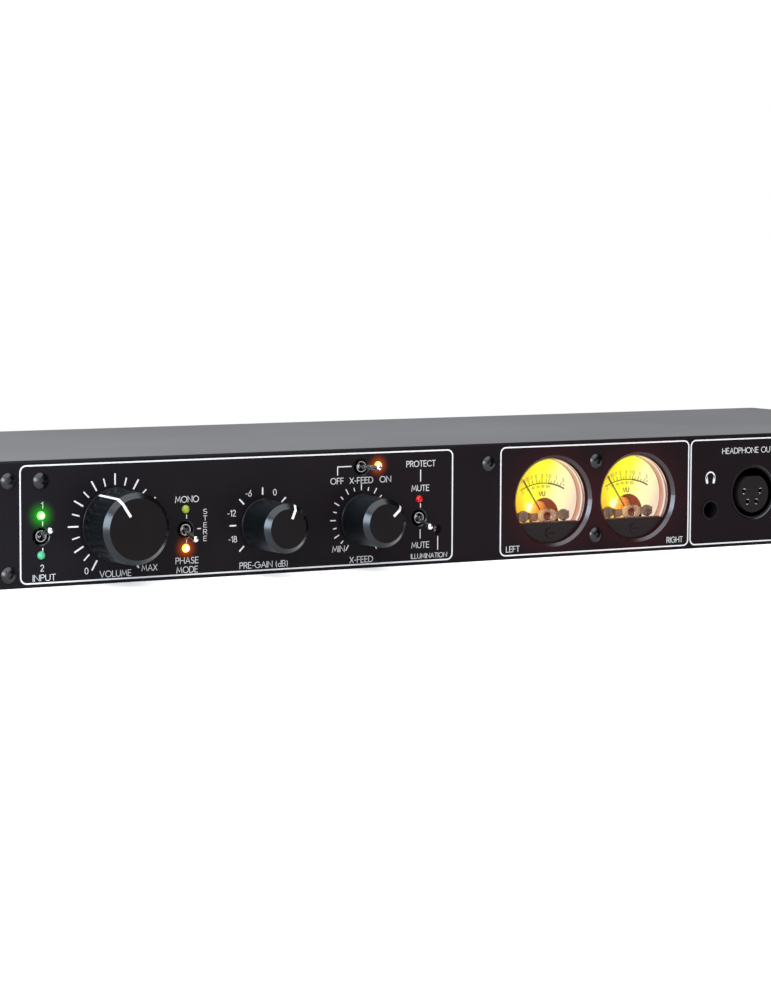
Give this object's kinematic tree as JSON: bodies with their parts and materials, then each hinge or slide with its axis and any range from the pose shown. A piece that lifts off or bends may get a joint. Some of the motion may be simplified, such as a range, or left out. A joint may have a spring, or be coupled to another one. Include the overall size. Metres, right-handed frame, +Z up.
{
  "type": "rack headphone amplifier",
  "caption": "One-unit 19-inch rack headphone amplifier with rotary controls, toggles, two round needle meters and headphone sockets.",
  "frame": {"origin": "centre of the rack-ear slot pattern on the rear (mounting) face of the front panel", "axes": "+X to the right seen from the front, +Y into the rack away from the user, +Z up"},
  "size_m": [0.4826, 0.1738, 0.0436],
  "materials": {
    "panel_black": "satin black anodised",
    "casing_grey": "satin grey powder coat",
    "screw_black": "black oxide",
    "screw_zinc": "zinc plated",
    "spacer_brass": "plain",
    "board_green": "solder mask",
    "switch_black": "moulded",
    "chrome_plate": "polished",
    "pot_steel": "plain",
    "switch_blue": "moulded",
    "shaft_steel": "turned",
    "knob_black": "satin",
    "trimmer_blue": "moulded",
    "rotor_white": "moulded",
    "led_green_lit": "lit",
    "led_green_off": "unlit",
    "led_yellow_off": "unlit",
    "led_amber_lit": "lit",
    "led_red_off": "unlit",
    "led_white_lit": "lit",
    "meter_black": "satin",
    "meter_lens": "clear",
    "meter_dial": "printed, lit from behind",
    "bridge_brass": "plain",
    "movement_steel": "plain",
    "needle_dark": "matte",
    "lamp_glass": "lit",
    "bracket_zinc": "zinc plated",
    "jack_black": "moulded",
    "xlr_metal": "dark nickel",
    "insert_black": "moulded",
    "winding_tape": "wrapped tape",
    "heatsink_black": "black anodised",
    "chip_black": "moulded",
    "capacitor_blue": "sleeved",
    "relay_blue": "moulded",
    "ribbon_grey": "plain",
    "inlet_black": "moulded",
    "phono_gold": "gold plated"
  },
  "bodies": {
    "root": {"front_panel": "panel_black", "chassis_tray": "casing_grey", "rear_panel": "casing_grey", "top_cover": "casing_grey", "panel_screws": "screw_black", "case_screws": "screw_black", "board_screws": "screw_zinc", "board_spacers": "spacer_brass", "front_board": "board_green", "toggle_bodies": "switch_black", "toggle_bushings": "chrome_plate", "volume_pot": "pot_steel", "pregain_switch": "switch_blue", "crossfeed_pot": "pot_steel", "trimmer_body": "trimmer_blue", "input_1_led": "led_green_lit", "input_2_led": "led_green_off", "mono_led": "led_yellow_off", "amber_leds": "led_amber_lit", "mute_led": "led_red_off", "power_led": "led_white_lit", "meter_housings": "meter_black", "meter_lenses": "meter_lens", "meter_masks": "meter_black", "meter_dials": "meter_dial", "meter_bridges": "bridge_brass", "meter_movements": "movement_steel", "dial_screws": "screw_zinc", "meter_lamps": "lamp_glass", "meter_bracket": "bracket_zinc", "headphone_jacks": "jack_black", "xlr_shells": "xlr_metal", "xlr_inserts": "insert_black", "main_board": "board_green", "transformer": "winding_tape", "transformer_clamp": "bracket_zinc", "heatsink": "heatsink_black", "power_transistors": "chip_black", "capacitors": "capacitor_blue", "relays": "relay_blue", "ribbon_cable": "ribbon_grey", "mains_inlet": "inlet_black", "phono_sockets": "phono_gold"},
    "volume_control": {"volume_shaft": "shaft_steel", "volume_knob": "knob_black"},
    "pregain_control": {"pregain_shaft": "shaft_steel", "pregain_knob": "knob_black"},
    "crossfeed_control": {"crossfeed_shaft": "shaft_steel", "crossfeed_knob": "knob_black"},
    "input_toggle": {"input_lever": "chrome_plate"},
    "mode_toggle": {"mode_lever": "chrome_plate"},
    "crossfeed_toggle": {"crossfeed_lever": "chrome_plate"},
    "mute_toggle": {"mute_lever": "chrome_plate"},
    "power_toggle": {"power_lever": "chrome_plate"},
    "illumination_trimmer": {"trimmer_rotor": "rotor_white"},
    "left_pointer": {"left_needle": "needle_dark"},
    "right_pointer": {"right_needle": "needle_dark"},
    "left_zero": {"left_zero_screw": "meter_black"},
    "right_zero": {"right_zero_screw": "meter_black"},
    "fuse_tray": {"fuse_drawer": "inlet_black"}
  },
  "joints": [
    {"name": "volume_turn", "type": "hinge", "parent": "root", "child": "volume_control", "pos_m": [-0.1688, -0.012, -0.0014], "axis": [0, 1, 0], "range_deg": [-118, 182]},
    {"name": "pregain_turn", "type": "hinge", "parent": "root", "child": "pregain_control", "pos_m": [-0.111, -0.012, -0.0038], "axis": [0, 1, 0], "range_deg": [-135, 90]},
    {"name": "crossfeed_turn", "type": "hinge", "parent": "root", "child": "crossfeed_control", "pos_m": [-0.0705, -0.012, -0.0038], "axis": [0, 1, 0], "range_deg": [-197, 103]},
    {"name": "input_throw", "type": "hinge", "parent": "root", "child": "input_toggle", "pos_m": [-0.1967, -0.0012, -0.0041], "axis": [1, 0, 0], "range_deg": [0, 28]},
    {"name": "mode_throw", "type": "hinge", "parent": "root", "child": "mode_toggle", "pos_m": [-0.1415, -0.0012, -0.0044], "axis": [1, 0, 0], "range_deg": [-28, 0]},
    {"name": "crossfeed_throw", "type": "hinge", "parent": "root", "child": "crossfeed_toggle", "pos_m": [-0.0704, -0.0012, 0.0154], "axis": [0, 0, 1], "range_deg": [-28, 0]},
    {"name": "mute_throw", "type": "hinge", "parent": "root", "child": "mute_toggle", "pos_m": [-0.046, -0.0012, -0.0043], "axis": [1, 0, 0], "range_deg": [-28, 0]},
    {"name": "power_throw", "type": "hinge", "parent": "root", "child": "power_toggle", "pos_m": [0.1703, -0.0012, -0.0043], "axis": [1, 0, 0], "range_deg": [0, 28]},
    {"name": "illumination_turn", "type": "hinge", "parent": "root", "child": "illumination_trimmer", "pos_m": [-0.0382, 0.003, -0.009], "axis": [0, 1, 0], "range_deg": [-135, 135]},
    {"name": "left_needle_swing", "type": "hinge", "parent": "root", "child": "left_pointer", "pos_m": [0.013, 0.003, -0.0067], "axis": [0, 1, 0], "range_deg": [-11, 78], "stiffness_Nm_per_rad": 0.0005},
    {"name": "left_zero_turn", "type": "hinge", "parent": "root", "child": "left_zero", "pos_m": [0.013, 0, -0.01285], "axis": [0, 1, 0], "range_deg": [-30, 30]},
    {"name": "right_needle_swing", "type": "hinge", "parent": "root", "child": "right_pointer", "pos_m": [0.0516, 0.003, -0.0067], "axis": [0, 1, 0], "range_deg": [-11, 78], "stiffness_Nm_per_rad": 0.0005},
    {"name": "right_zero_turn", "type": "hinge", "parent": "root", "child": "right_zero", "pos_m": [0.0516, 0, -0.01285], "axis": [0, 1, 0], "range_deg": [-30, 30]},
    {"name": "fuse_drawer_slide", "type": "slide", "parent": "root", "child": "fuse_tray", "axis": [0, 1, 0], "range_m": [0, 0.014]}
  ]
}
